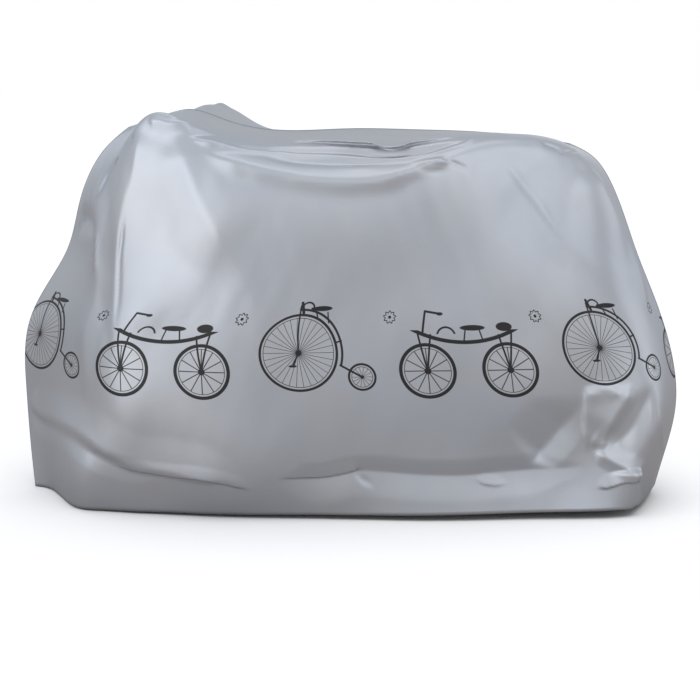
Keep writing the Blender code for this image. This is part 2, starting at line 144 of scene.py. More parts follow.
# Main folds. Each follows a route on the cloth. Its height is positive for a ridge and
# negative for a trough, its sides fall away over the widths left and right of the route,
# its crest has the given radius, and it fades in and out over shares of the route, where
# it also narrows.
FOLDS = {
    NEAR: [
        # name, height, left, right, crest, fade in, fade out, route (s, t)
        ("column edge", 0.016, 0.13, 0.13, 0.002, 0.14, 0.45,
         [(0.191, 0.805), (0.216, 0.771), (0.236, 0.745), (0.255, 0.721), (0.271, 0.703),
          (0.291, 0.678), (0.323, 0.634), (0.372, 0.538)]),
        ("column side", 0.01, 0.13, 0.045, 0.002, 0.12, 0.3,
         [(0.138, 0.803), (0.133, 0.775), (0.127, 0.743), (0.117, 0.725), (0.111, 0.706),
          (0.109, 0.678), (0.115, 0.634), (0.129, 0.578), (0.16, 0.459), (0.157, 0.354)]),
        ("nose turn", 0.012, 0.045, 0.05, 0.004, 0.2, 0.3,
         [(0.059, 0.831), (0.06, 0.763), (0.069, 0.696), (0.079, 0.639), (0.099, 0.563), (0.118, 0.386),
          (0.106, 0.314)]),
        ("nose notch", -0.009, 0.045, 0.045, 0.006, 0.02, 0.5,
         [(0.013, 0.74), (0.04, 0.728), (0.072, 0.686)]),
        ("top sag", -0.014, 0.018, 0.06, 0.003, 0.25, 0.3,
         [(0.248, 0.808), (0.318, 0.855), (0.394, 0.881), (0.474, 0.881), (0.517, 0.871), (0.566, 0.86),
          (0.613, 0.863), (0.659, 0.875), (0.71, 0.888), (0.771, 0.902)]),
        ("swag", 0.015, 0.05, 0.042, 0.0015, 0.15, 0.25,
         [(0.239, 0.8), (0.284, 0.8), (0.327, 0.798), (0.384, 0.793), (0.428, 0.788), (0.475, 0.785),
          (0.517, 0.786), (0.564, 0.793), (0.597, 0.806), (0.662, 0.83), (0.74, 0.858)]),
        ("saddle drop", 0.004, 0.06, 0.06, 0.006, 0.3, 0.6,
         [(0.776, 0.853), (0.76, 0.771), (0.745, 0.698)]),
        ("rear brace", 0.004, 0.12, 0.08, 0.002, 0.12, 0.45,
         [(0.786, 0.835), (0.808, 0.79), (0.828, 0.76), (0.844, 0.728), (0.862, 0.698), (0.885, 0.668),
          (0.915, 0.609), (0.939, 0.521)]),
        ("tail edge", 0.014, 0.05, 0.1, 0.003, 0.2, 0.3,
         [(0.956, 0.855), (0.953, 0.798), (0.969, 0.728), (0.982, 0.661), (0.982, 0.578),
          (0.972, 0.484)]),
        ("front shelf", 0.01, 0.09, 0.03, 0.002, 0.05, 0.2,
         [(0.001, 0.269), (0.022, 0.242), (0.043, 0.239), (0.075, 0.24), (0.105, 0.234), (0.14, 0.209),
          (0.176, 0.18), (0.202, 0.169), (0.244, 0.164), (0.293, 0.152), (0.328, 0.147),
          (0.367, 0.119)]),
        ("front groove", -0.006, 0.03, 0.05, 0.002, 0.08, 0.25,
         [(0.001, 0.24), (0.021, 0.219), (0.042, 0.219), (0.075, 0.224), (0.105, 0.214), (0.139, 0.185),
          (0.175, 0.167), (0.211, 0.157), (0.244, 0.15)]),
        ("hem shelf", -0.011, 0.045, 0.07, 0.002, 0.15, 0.12,
         [(0.395, 0.14), (0.437, 0.142), (0.476, 0.145), (0.517, 0.16), (0.587, 0.152), (0.663, 0.145),
          (0.711, 0.149), (0.762, 0.154), (0.86, 0.16)]),
        ("rear hollow", -0.02, 0.06, 0.13, 0.002, 0.5, 0.2,
         [(0.846, 0.329), (0.82, 0.277), (0.796, 0.224), (0.772, 0.165)]),
        ("box", 0.008, 0.05, 0.012, 0.001, 0.12, 0.3,
         [(0.846, 0.351), (0.845, 0.28), (0.853, 0.192)]),
        ("box face", 0.014, 0.03, 0.1, 0.001, 0.25, 0.3,
         [(0.915, 0.357), (0.901, 0.319), (0.884, 0.279), (0.872, 0.222)]),
        ("corner brace", -0.011, 0.06, 0.045, 0.002, 0.4, 0.2,
         [(0.954, 0.359), (0.937, 0.326), (0.922, 0.284), (0.904, 0.24), (0.882, 0.192)]),
        ("corner wedge", 0.011, 0.045, 0.03, 0.001, 0.25, 0.15,
         [(0.862, 0.205), (0.881, 0.184), (0.908, 0.162), (0.929, 0.144), (0.94, 0.132)]),
        ("corner upright", 0.016, 0.02, 0.08, 0.001, 0.15, 0.06,
         [(0.931, 0.159), (0.94, 0.107), (0.951, 0.053)]),
    ],
    FAR: [
        ("column front", 0.016, 0.15, 0.05, 0.002, 0.15, 0.3,
         [(0.215, 0.8), (0.195, 0.73), (0.18, 0.66), (0.172, 0.56), (0.168, 0.43), (0.165, 0.33)]),
        ("column rear", 0.018, 0.13, 0.13, 0.003, 0.25, 0.6,
         [(0.285, 0.81), (0.31, 0.74), (0.345, 0.65), (0.37, 0.54), (0.385, 0.4)]),
        ("nose turn", 0.012, 0.045, 0.05, 0.004, 0.3, 0.3,
         [(0.06, 0.76), (0.078, 0.68), (0.098, 0.58), (0.11, 0.46), (0.112, 0.36)]),
        ("nose pull", 0.009, 0.05, 0.05, 0.003, 0.25, 0.5,
         [(0.17, 0.78), (0.11, 0.7), (0.06, 0.6)]),
        ("top sag", -0.02, 0.045, 0.04, 0.004, 0.25, 0.3,
         [(0.31, 0.87), (0.38, 0.91), (0.47, 0.93), (0.56, 0.92), (0.65, 0.93), (0.75, 0.97)]),
        ("swag", 0.018, 0.06, 0.08, 0.002, 0.2, 0.35,
         [(0.29, 0.84), (0.37, 0.81), (0.46, 0.8), (0.55, 0.8), (0.64, 0.83), (0.72, 0.88)]),
        ("saddle drop", 0.01, 0.09, 0.07, 0.003, 0.25, 0.6,
         [(0.7, 0.87), (0.69, 0.78), (0.66, 0.64), (0.62, 0.5)]),
        ("rear brace", 0.015, 0.11, 0.06, 0.002, 0.2, 0.4,
         [(0.765, 0.84), (0.8, 0.76), (0.85, 0.67), (0.9, 0.58), (0.93, 0.48)]),
        ("tail edge", 0.012, 0.04, 0.08, 0.003, 0.2, 0.3,
         [(0.95, 0.87), (0.957, 0.76), (0.962, 0.64), (0.966, 0.5)]),
        ("front shelf", 0.013, 0.1, 0.035, 0.003, 0.15, 0.3,
         [(0.05, 0.23), (0.11, 0.19), (0.18, 0.18), (0.26, 0.16), (0.35, 0.14)]),
        ("hem shelf", -0.013, 0.08, 0.06, 0.002, 0.2, 0.2,
         [(0.36, 0.165), (0.47, 0.15), (0.58, 0.158), (0.69, 0.15), (0.79, 0.165), (0.86, 0.185)]),
        ("side drift", 0.01, 0.16, 0.14, 0.003, 0.35, 0.5,
         [(0.47, 0.7), (0.52, 0.52), (0.53, 0.34)]),
        ("corner brace", 0.012, 0.06, 0.08, 0.003, 0.2, 0.3,
         [(0.95, 0.31), (0.9, 0.25), (0.85, 0.19), (0.8, 0.16)]),
    ],
}

# Fine creases, in the same columns, over the folds that the solids have
CREASES = {
    NEAR: [
        ("nose crease", -0.0065, 0.005, 0.012, 0.0008, 0.15, 0.2,
         [(0.09, 0.806), (0.08, 0.805), (0.07, 0.8), (0.067, 0.79), (0.063, 0.773), (0.058, 0.75)]),
        ("nose crease top", -0.003, 0.006, 0.01, 0.001, 0.3, 0.4,
         [(0.117, 0.813), (0.117, 0.805), (0.112, 0.8)]),
        ("nose line", 0.0045, 0.006, 0.01, 0.001, 0.2, 0.35,
         [(0.069, 0.705), (0.075, 0.658), (0.085, 0.609)]),
        ("column line", -0.004, 0.008, 0.007, 0.001, 0.15, 0.4,
         [(0.118, 0.699), (0.117, 0.676), (0.121, 0.638), (0.143, 0.554), (0.167, 0.444)]),
        ("bar edge", 0.005, 0.012, 0.03, 0.0015, 0.15, 0.15,
         [(0.143, 0.816), (0.168, 0.818), (0.19, 0.828), (0.219, 0.881)]),
        ("band fold", -0.003, 0.012, 0.01, 0.001, 0.25, 0.4,
         [(0.212, 0.811), (0.261, 0.868), (0.324, 0.928)]),
        ("sag lip", 0.01, 0.016, 0.018, 0.001, 0.15, 0.2,
         [(0.211, 0.808), (0.257, 0.826), (0.324, 0.841), (0.398, 0.85), (0.497, 0.846), (0.575, 0.843),
          (0.648, 0.856), (0.719, 0.878)]),
        ("lip fold", -0.005, 0.012, 0.018, 0.002, 0.3, 0.3,
         [(0.344, 0.825), (0.412, 0.826), (0.494, 0.826), (0.578, 0.836)]),
        ("saddle ridge", 0.004, 0.01, 0.012, 0.001, 0.25, 0.2,
         [(0.645, 0.865), (0.684, 0.875), (0.716, 0.886), (0.751, 0.912)]),
        ("saddle rise", 0.006, 0.016, 0.016, 0.001, 0.35, 0.4,
         [(0.602, 0.826), (0.636, 0.83), (0.664, 0.831), (0.693, 0.821)]),
        ("tail tuck", -0.004, 0.008, 0.014, 0.001, 0.25, 0.25,
         [(0.865, 0.891), (0.884, 0.883), (0.901, 0.875)]),
        ("tail tuck low", -0.004, 0.006, 0.012, 0.001, 0.25, 0.25,
         [(0.891, 0.866), (0.913, 0.875), (0.95, 0.902)]),
        ("brace line", 0.0022, 0.016, 0.01, 0.002, 0.25, 0.5,
         [(0.775, 0.835), (0.789, 0.806), (0.805, 0.778), (0.825, 0.751), (0.843, 0.721),
          (0.859, 0.698), (0.877, 0.676)]),
        ("shelf lip", 0.003, 0.01, 0.01, 0.001, 0.25, 0.25,
         [(0.122, 0.212), (0.136, 0.204), (0.155, 0.19)]),
        ("middle drop", -0.005, 0.014, 0.01, 0.001, 0.1, 0.4,
         [(0.516, 0.167), (0.524, 0.142), (0.548, 0.11)]),
        ("box top", 0.005, 0.01, 0.04, 0.001, 0.2, 0.3,
         [(0.843, 0.342), (0.863, 0.346), (0.884, 0.346), (0.899, 0.329)]),
        ("end line", 0.003, 0.012, 0.02, 0.001, 0.25, 0.35,
         [(0.943, 0.327), (0.944, 0.265), (0.952, 0.2)]),
        ("end line back", 0.004, 0.01, 0.02, 0.001, 0.3, 0.25,
         [(0.948, 0.331), (0.968, 0.215), (0.998, 0.15)]),
        ("box foot", 0.006, 0.06, 0.012, 0.001, 0.25, 0.3,
         [(0.852, 0.229), (0.868, 0.217), (0.883, 0.212)]),
        ("saddle line", -0.003, 0.005, 0.01, 0.0008, 0.25, 0.3,
         [(0.664, 0.841), (0.691, 0.823), (0.716, 0.808)]),
        ("saddle line low", -0.0022, 0.005, 0.01, 0.0008, 0.3, 0.3,
         [(0.616, 0.813), (0.646, 0.808), (0.687, 0.806)]),
    ],
    FAR: [
        ("nose crease", -0.006, 0.01, 0.016, 0.0012, 0.25, 0.35,
         [(0.13, 0.79), (0.105, 0.77), (0.085, 0.735)]),
        ("bar edge", 0.006, 0.02, 0.025, 0.002, 0.15, 0.2,
         [(0.215, 0.815), (0.235, 0.855), (0.245, 0.91)]),
        ("sag lip", 0.007, 0.016, 0.02, 0.0015, 0.2, 0.25,
         [(0.3, 0.845), (0.4, 0.848), (0.52, 0.855), (0.62, 0.872), (0.71, 0.91)]),
        ("side line", 0.004, 0.014, 0.02, 0.002, 0.35, 0.5,
         [(0.4, 0.7), (0.43, 0.6), (0.47, 0.52)]),
        ("tail line", 0.004, 0.012, 0.014, 0.0015, 0.3, 0.4,
         [(0.93, 0.6), (0.925, 0.45), (0.915, 0.33)]),
    ],
}

# Tucks, where the film is folded over itself. The cloth left of the route rises to a crest
# over the width called over, leans out past the route, and comes back under itself.
TUCKS = {
    NEAR: [
        # name, height, lean, over, under, fade in, fade out, route (s, t)
        ("sag overhang", 0.014, 0.036, 0.06, 0.016, 0.25, 0.4,
         [(0.341, 0.907), (0.4, 0.927), (0.469, 0.923), (0.529, 0.913), (0.558, 0.907), (0.571, 0.895),
          (0.588, 0.891), (0.603, 0.896), (0.618, 0.903), (0.663, 0.912), (0.713, 0.917),
          (0.758, 0.922)]),
        ("shelf tuck", 0.004, 0.009, 0.03, 0.009, 0.25, 0.25,
         [(0.148, 0.174), (0.182, 0.164), (0.241, 0.154), (0.291, 0.15), (0.344, 0.129),
          (0.367, 0.114)]),
        ("middle tuck", 0.003, 0.007, 0.03, 0.009, 0.25, 0.08,
         [(0.4, 0.145), (0.428, 0.15), (0.463, 0.15), (0.504, 0.162), (0.517, 0.169)]),
        ("pocket", 0.003, 0.006, 0.025, 0.01, 0.4, 0.4,
         [(0.691, 0.137), (0.715, 0.125), (0.747, 0.119)]),
        ("corner cut", 0.005, 0.01, 0.03, 0.009, 0.25, 0.06,
         [(0.875, 0.11), (0.897, 0.114), (0.913, 0.125), (0.934, 0.132)]),
    ],
    FAR: [
        ("sag overhang", 0.009, 0.014, 0.045, 0.012, 0.3, 0.3,
         [(0.33, 0.905), (0.42, 0.922), (0.5, 0.918), (0.56, 0.908), (0.64, 0.925)]),
        ("saddle tuck", 0.006, 0.009, 0.03, 0.009, 0.15, 0.35,
         [(0.668, 0.8), (0.64, 0.822), (0.61, 0.85)]),
        ("side tuck", 0.004, 0.008, 0.025, 0.009, 0.3, 0.3,
         [(0.52, 0.79), (0.56, 0.78), (0.6, 0.786)]),
        ("hem pocket", 0.005, 0.009, 0.025, 0.009, 0.3, 0.25,
         [(0.44, 0.135), (0.5, 0.126), (0.56, 0.14)]),
        ("shelf tuck", 0.004, 0.009, 0.03, 0.009, 0.25, 0.3,
         [(0.2, 0.176), (0.27, 0.162), (0.33, 0.148)]),
        ("shelf fold", 0.004, 0.008, 0.025, 0.009, 0.3, 0.3,
         [(0.64, 0.158), (0.684, 0.166), (0.72, 0.15)]),
    ],
}
ROUTE_STEPS = 8           # straight steps between two points of a fold's route
END_WIDTH = 0.3           # share of its width that a fold has where it ends
TUCK_CURL = 1.5           # more keeps the lean of a tuck closer to its crest
FOLD_FALL = 1.3           # 1 is a straight side, more is a side with a softer foot
EDGE_FADE = (0.02, 0.03)  # share of s and of t over which folds die away at the seam

# The grid that a panel is shaped on: its cells, and where its lines stand closer
CELLS_ALONG = 310
CELLS_UP = 156
LINE_SAMPLES = 2001
CLOSER_ALONG = [(0.00, 0.05, 1.2), (0.13, 0.06, 0.5), (0.68, 0.06, 0.4), (0.87, 0.05, 0.5),
                (1.00, 0.05, 1.2)]
CLOSER_UP = [(0.00, 0.03, 1.0), (0.15, 0.04, 1.8), (0.88, 0.06, 2.4), (1.00, 0.03, 0.5)]

# Slack of the film that no fold takes up: ripples in the cloth, and gathers in the lip
RIPPLE_SEED = 11
RIPPLES = [
    # wavelength, height, share that runs down the cloth
    (0.340, 0.0010, 0.3), (0.210, 0.0006, 0.4), (0.120, 0.0003, 0.5), (0.070, 0.00016, 0.6),
]
RIPPLES_OF_A_LENGTH = 6
RIPPLE_SPREAD = (0.8, 1.25)   # of their wavelengths
RIPPLE_FADE = 0.1         # t below which the ripples die away to the lip
GATHER_TOP = 0.040        # t at which the elastic's gathers have died away
GATHER_DEPTH = 0.0035
GATHER_LENGTHS = (0.031, 0.047, 0.019)
GATHER_PHASES = 6         # radians over which the start of each wave is drawn


def spline_weights(places, knots):
    """Natural cubic spline: what each knot's value counts for at each place."""
    knots = np.asarray(knots, float)
    count = len(knots)
    step = np.diff(knots)
    smooth = np.eye(count)
    second = np.zeros((count, count))
    for i in range(1, count - 1):
        smooth[i, i - 1:i + 2] = step[i - 1], 2 * (step[i - 1] + step[i]), step[i]
        second[i, i - 1:i + 2] = 6 / step[i - 1], -6 / step[i - 1] - 6 / step[i], 6 / step[i]
    bend = np.linalg.solve(smooth, second)
    span = np.clip(np.searchsorted(knots, places) - 1, 0, count - 2)
    width = step[span][:, None]
    after = (places - knots[span])[:, None] / width
    before = 1 - after
    value = np.eye(count)
    return (before * value[span] + after * value[span + 1]
            + ((before**3 - before) * bend[span] + (after**3 - after) * bend[span + 1])
            * width**2 / 6)


def ease(share):
    """0 to 1 with a soft start and a soft end."""
    share = np.clip(share, 0, 1)
    return share * share * (3 - 2 * share)


def draped(side, s, t):
    """Points of a panel without its folds, from the section and level tables."""
    table = np.array(SECTIONS[side])
    levels = np.array([row[1:] for row in LEVELS])
    ridge = np.array(RIDGE)
    section = spline_weights(s, table[:, 0]) @ table[:, 1:]
    floor, heights = section[:, :1], section[:, 7:]
    top = spline_weights(s, ridge[:, 0]) @ ridge[:, 1:]
    lip = floor - LIP_INSET * np.clip(floor / LIP_FREE, 0, 1)
    half_widths = np.hstack([lip, section[:, :7], 0 * top])
    nose, tail = (1 - s)[:, None], s[:, None]
    reach = nose * levels[:, 1] + tail * levels[:, 3]
    rise = nose * levels[:, 2] + tail * levels[:, 4]
    rise[:, 6:] = np.hstack([heights, top])
    hem = levels[1, 0]
    at_level = np.zeros((len(s), len(levels)))
    at_level[:, 1:] = spline_weights(np.maximum(t, hem), levels[1:, 0])
    turned_in = np.clip(1 - t / hem, 0, 1)[:, None]
    at_level = at_level * (1 - turned_in)
    at_level[:, :1] = turned_in
    x = (reach * at_level).sum(axis=1)
    y = np.maximum((half_widths * at_level).sum(axis=1), 0)
    z = (rise * at_level).sum(axis=1)
    return np.stack([x, side * y, z], axis=1)


def off_route(side, s, t, points, route):
    """Distance to a route, share along it, side of it (+ is left) and its way there."""
    knots = np.arange(len(route))
    along = np.linspace(0, knots[-1], ROUTE_STEPS * knots[-1] + 1)
    cloth = spline_weights(along, knots) @ np.array(route)
    path = draped(side, cloth[:, 0], cloth[:, 1])
    nearest = np.full(len(s), np.inf)
    share = np.zeros(len(s))
    turn = np.zeros(len(s))
    way = np.zeros((len(s), 3))
    for i, run in enumerate(np.diff(path, axis=0)):
        offset = points - path[i]
        on_run = np.clip(offset @ run / (run @ run), 0, 1)
        distance = np.linalg.norm(offset - on_run[:, None] * run, axis=1)
        closer = distance < nearest
        nearest[closer] = distance[closer]
        share[closer] = (i + on_run[closer]) / (len(path) - 1)
        ds, dt = cloth[i + 1] - cloth[i]
        turn[closer] = (ds * (t - cloth[i, 1]) - dt * (s - cloth[i, 0]))[closer]
        way[closer] = run / np.linalg.norm(run)
    return nearest, share, turn, way


def fold_height(side, s, t, points, fold):
    """How far one fold lifts each of the given points of a panel."""
    _name, height, left, right, crest, fade_in, fade_out, route = fold
    nearest, share, turn, _way = off_route(side, s, t, points, route)
    fade = ease(share / fade_in) * ease((1 - share) / fade_out)
    width = np.where(turn > 0, left, right) * (END_WIDTH + (1 - END_WIDTH) * fade)
    away = (np.hypot(nearest, crest) - crest) / width
    return height * np.clip(1 - away, 0, 1) ** FOLD_FALL * fade


def tuck_shift(side, s, t, points, outward, tuck):
    """How far one tuck lifts each point and leans it over to the right of the route."""
    _name, height, lean, over, under, fade_in, fade_out, route = tuck
    nearest, share, turn, way = off_route(side, s, t, points, route)
    fade = ease(share / fade_in) * ease((1 - share) / fade_out)
    width = np.where(turn > 0, over, under) * (END_WIDTH + (1 - END_WIDTH) * fade)
    rise = np.clip(1 - nearest / width, 0, 1) * fade
    right = np.cross(way, outward) * -side
    return outward * (height * rise)[:, None] + right * (lean * rise ** TUCK_CURL)[:, None]


def ripple_height(side, across, up):
    """Low ripples in metres of cloth: waves of a few lengths in seeded directions."""
    chance = np.random.default_rng(RIPPLE_SEED + side)
    height = 0 * across
    for length, depth, down in RIPPLES:
        for _ in range(RIPPLES_OF_A_LENGTH):
            turn = chance.uniform(-1, 1) * math.pi / 2 * (1 - down)
            phase = chance.uniform(0, 2 * math.pi)
            stretch = chance.uniform(*RIPPLE_SPREAD)
            along = across * math.cos(turn) + up * math.sin(turn)
            wave = np.sin(2 * math.pi * along / (length * stretch) + phase)
            height += depth * wave / math.sqrt(RIPPLES_OF_A_LENGTH)
    return height


def gather_height(side, across, t):
    """Gathers that the elastic pulls into the lip, none by the fold of the hem."""
    chance = np.random.default_rng(RIPPLE_SEED + 2 * side)
    waves = sum(np.sin(2 * math.pi * across / length + chance.uniform(0, GATHER_PHASES))
                for length in GATHER_LENGTHS)
    return GATHER_DEPTH * waves / len(GATHER_LENGTHS) * ease(1 - t / GATHER_TOP)


def surface(side, s, t, across, up):
    """Points of a panel's outer face, with its folds, creases and ripples."""
    points = draped(side, s, t)
    nudge = 0.001
    along = draped(side, s + nudge, t) - draped(side, s - nudge, t)
    rise = draped(side, s, t + nudge) - draped(side, s, t - nudge)
    outward = np.cross(along, rise) * -side
    outward /= np.linalg.norm(outward, axis=1)[:, None] + 1e-12
    lift = sum(fold_height(side, s, t, points, fold) for fold in FOLDS[side] + CREASES[side])
    lift += ripple_height(side, across, up) * ease(t / RIPPLE_FADE)
    lift += gather_height(side, across, t)
    shift = sum(tuck_shift(side, s, t, points, outward, tuck) for tuck in TUCKS[side])
    edge = ease(np.minimum(np.minimum(s, 1 - s) / EDGE_FADE[0], (1 - t) / EDGE_FADE[1]))
    return points + (outward * lift[:, None] + shift) * edge[:, None]


def hang(points):
    """Let the seam sway off the middle, turn the nose, and put the origin at the support."""
    x, _y, z = points.T
    sway = SEAM_SWAY * np.sin(SEAM_SWAY_PER_METRE * x) * z
    sway += NOSE_TURN * ease((NOSE_TURN_FROM - x) / NOSE_TURN_OVER) * ease((1 - z) / NOSE_TURN_BELOW)
    return points + np.stack([0 * sway, sway, 0 * sway - SUPPORT_HEIGHT], axis=1)


def grid_lines(count, closer):
    """Places from 0 to 1 for the lines of a grid, closer together where asked."""
    fine = np.linspace(0, 1, LINE_SAMPLES)
    density = 1 + sum(gain * np.exp(-((fine - place) / width) ** 2)
                      for place, width, gain in closer)
    run = np.concatenate([[0], np.cumsum((density[1:] + density[:-1]) / 2)])
    return np.interp(np.linspace(0, run[-1], count), run, fine)


PRINT_LEVEL = 0.44        # t of the middle of the printed band


def cloth_metres(side, s_lines, t_lines):
    """Lengths along and up the cloth at each crossing of the grid, from the print's level."""
    s, t = (a.ravel() for a in np.meshgrid(s_lines, t_lines, indexing="ij"))
    points = draped(side, s, t).reshape(len(s_lines), len(t_lines), 3)
    up = np.linalg.norm(np.diff(points, axis=1), axis=2).cumsum(axis=1)
    up = np.hstack([np.zeros((len(s_lines), 1)), up])
    up -= np.array([[np.interp(PRINT_LEVEL, t_lines, column)] for column in up])
    level = draped(side, s_lines, 0 * s_lines + PRINT_LEVEL)
    along = np.linalg.norm(np.diff(level, axis=0), axis=1).cumsum()
    return np.concatenate([[0], along]), up


def as_mesh(grid, name):
    """A worked grid as a mesh, after which the grid is freed."""
    mesh = bpy.data.meshes.new(name)
    grid.to_mesh(mesh)
    grid.free()
    return mesh


def in_scene(name, data):
    """A new object in the scene."""
    thing = bpy.data.objects.new(name, data)
    bpy.context.scene.collection.objects.link(thing)
    return thing


def panel(name, side, finishes):
    """One side of the cover, with its lengths of cloth in the UV map named Cloth."""
    s_lines = grid_lines(CELLS_ALONG - 1, CLOSER_ALONG)
    t_lines = grid_lines(CELLS_UP, CLOSER_UP)
    along, up = cloth_metres(side, s_lines, t_lines)
    grid = bmesh.new()
    grid.loops.layers.uv.new("Cloth")
    bmesh.ops.create_grid(grid, x_segments=CELLS_ALONG, y_segments=CELLS_UP, size=0.5,
                          calc_uvs=True)
    flat = np.array([vert.co for vert in grid.verts])
    column = np.rint((flat[:, 0] + 0.5) * CELLS_ALONG).astype(int)
    row = np.rint((flat[:, 1] + 0.5) * CELLS_UP).astype(int)
    i = np.clip(column - 1, 0, CELLS_ALONG - 2)
    j = np.clip(row, 0, CELLS_UP - 1)
    points = surface(side, s_lines[i], t_lines[j], along[i], up[i, j])
    on_seam = (column == 0) | (column == CELLS_ALONG) | (row == CELLS_UP)
    points[:, 1] += side * (SEAM_HALF_GAP + np.where(on_seam, 0, SEAM_FLAT))
    for vert, point in zip(grid.verts, hang(points)):
        vert.co = point
    if side == FAR:
        bmesh.ops.reverse_faces(grid, faces=grid.faces)
    mesh = as_mesh(grid, name)
    crossing = np.empty(2 * len(mesh.loops), np.float32)
    mesh.uv_layers["Cloth"].data.foreach_get("uv", crossing)
    crossing = np.rint(crossing.reshape(-1, 2) * (CELLS_ALONG, CELLS_UP)).astype(int)
    i = np.clip(crossing[:, 0] - 1, 0, CELLS_ALONG - 2)
    j = np.clip(crossing[:, 1], 0, CELLS_UP - 1)
    metres = np.stack([-side * along[i], up[i, j]], axis=1)
    mesh.uv_layers["Cloth"].data.foreach_set("uv", metres.astype(np.float32).ravel())
    mesh.shade_smooth()
    piece = in_scene(name, mesh)
    for finish in finishes:
        mesh.materials.append(finish)
    wall = piece.modifiers.new("wall", "SOLIDIFY")
    wall.thickness = FILM_WALL
    wall.offset = -1
    wall.material_offset = 1
    return piece


# ---------------------------------------------------------------------------
# The print on the film.
# A band of line drawings runs round the cover at half its height, in one dark ink with a
# pale one behind the spokes: old high wheelers and walking machines by turns, with small
# cogs between them, all drawn in metres of cloth.
# ---------------------------------------------------------------------------

def add(tree, kind, **settings):
    """A node, with its properties set."""
    node = tree.nodes.new(kind)
    for name, value in settings.items():
        setattr(node, name, value)
    return node


def feed(tree, node, *values, **named):
    """Give a node's live inputs values or links, in order or by name. Its first output."""
    live = [socket for socket in node.inputs if socket.enabled]
    by_name = {socket.name.lower(): socket for socket in live}
    sockets = live[:len(values)] + [by_name[name.replace("_", " ")] for name in named]
    for socket, value in zip(sockets, [*values, *named.values()]):
        if isinstance(value, bpy.types.NodeSocket):
            tree.links.new(value, socket)
        else:
            socket.default_value = value
    return next((out for out in node.outputs if out.enabled), None)


def maths(tree, operation, *values):
    return feed(tree, add(tree, "ShaderNodeMath", operation=operation), *values)


def vectors(tree, operation, *values):
    return feed(tree, add(tree, "ShaderNodeVectorMath", operation=operation), *values)


def new_group(name, inputs, outputs):
    """An empty shader node group with the named sockets, and its two end nodes."""
    group = bpy.data.node_groups.new(name, "ShaderNodeTree")
    for direction, sockets in (("INPUT", inputs), ("OUTPUT", outputs)):
        for socket, kind in sockets.items():
            group.interface.new_socket(name=socket, in_out=direction,
                                       socket_type="NodeSocket" + kind)
    start = group.nodes.new("NodeGroupInput")
    return group, start.outputs, group.nodes.new("NodeGroupOutput").inputs


def place_group(tree, group, **values):
    """Put a node group in a tree, with its inputs set by name, and return its outputs."""
    node = add(tree, "ShaderNodeGroup", node_tree=group)
    feed(tree, node, **values)
    return node.outputs


def parts_of(tree, vector):
    """The x and the y of a vector."""
    node = add(tree, "ShaderNodeSeparateXYZ")
    feed(tree, node, vector)
    return node.outputs["X"], node.outputs["Y"]


def line_group(name, inputs, off_edge):
    """A group that gives the distance from a point of the cloth to the edge of a line."""
    group, given, out = new_group("print_" + name, {"Point": "Vector", "Centre": "Vector",
                                                    **inputs}, {"Distance": "Float"})
    offset = vectors(group, "SUBTRACT", given["Point"], given["Centre"])
    group.links.new(off_edge(group, given, offset), out["Distance"])
    return group


def off_stroke(group, given, offset):
    """From a straight stroke with round ends, which starts at the centre."""
    share = maths(group, "DIVIDE", vectors(group, "DOT_PRODUCT", offset, given["Span"]),
                  vectors(group, "DOT_PRODUCT", given["Span"], given["Span"]))
    share.node.use_clamp = True
    nearest = vectors(group, "SCALE", given["Span"], share)
    return maths(group, "SUBTRACT", vectors(group, "DISTANCE", offset, nearest),
                 given["Half width"])


def off_arc(group, given, offset):
    """From an arc of a ring, kept where it faces the given way."""
    from_line = maths(group, "ABSOLUTE", maths(
        group, "SUBTRACT", vectors(group, "LENGTH", offset), given["Radius"]))
    left_out = maths(group, "LESS_THAN", vectors(group, "DOT_PRODUCT", offset,
                                                 given["Facing"]), given["Least"])
    return maths(group, "SUBTRACT", maths(group, "ADD", from_line, left_out),
                 given["Half width"])


def off_spokes(group, given, offset):
    """From the nearest of a wheel's spokes."""
    across, up = parts_of(group, offset)
    angle = maths(group, "ARCTAN2", up, across)
    off_spoke = maths(group, "PINGPONG", angle, maths(group, "DIVIDE", math.pi, given["Count"]))
    from_hub = vectors(group, "LENGTH", offset)
    away = maths(group, "MULTIPLY", maths(group, "SINE", off_spoke), from_hub)
    past_rim = maths(group, "GREATER_THAN", from_hub, given["Radius"])
    return maths(group, "SUBTRACT", maths(group, "ADD", away, past_rim), given["Half width"])


def off_blob(group, given, offset):
    """From a filled oval."""
    reach = vectors(group, "LENGTH", vectors(group, "MULTIPLY", offset, given["Stretch"]))
    return maths(group, "SUBTRACT", reach, given["Radius"])


THIN = {"Half width": "Float"}
ROUND = {"Radius": "Float"}
STROKE = line_group("stroke", {"Span": "Vector", **THIN}, off_stroke)
ARC = line_group("arc", {**ROUND, **THIN, "Facing": "Vector", "Least": "Float"}, off_arc)
SPOKES = line_group("spokes", {**ROUND, **THIN, "Count": "Float"}, off_spokes)
BLOB = line_group("blob", {**ROUND, "Stretch": "Vector"}, off_blob)

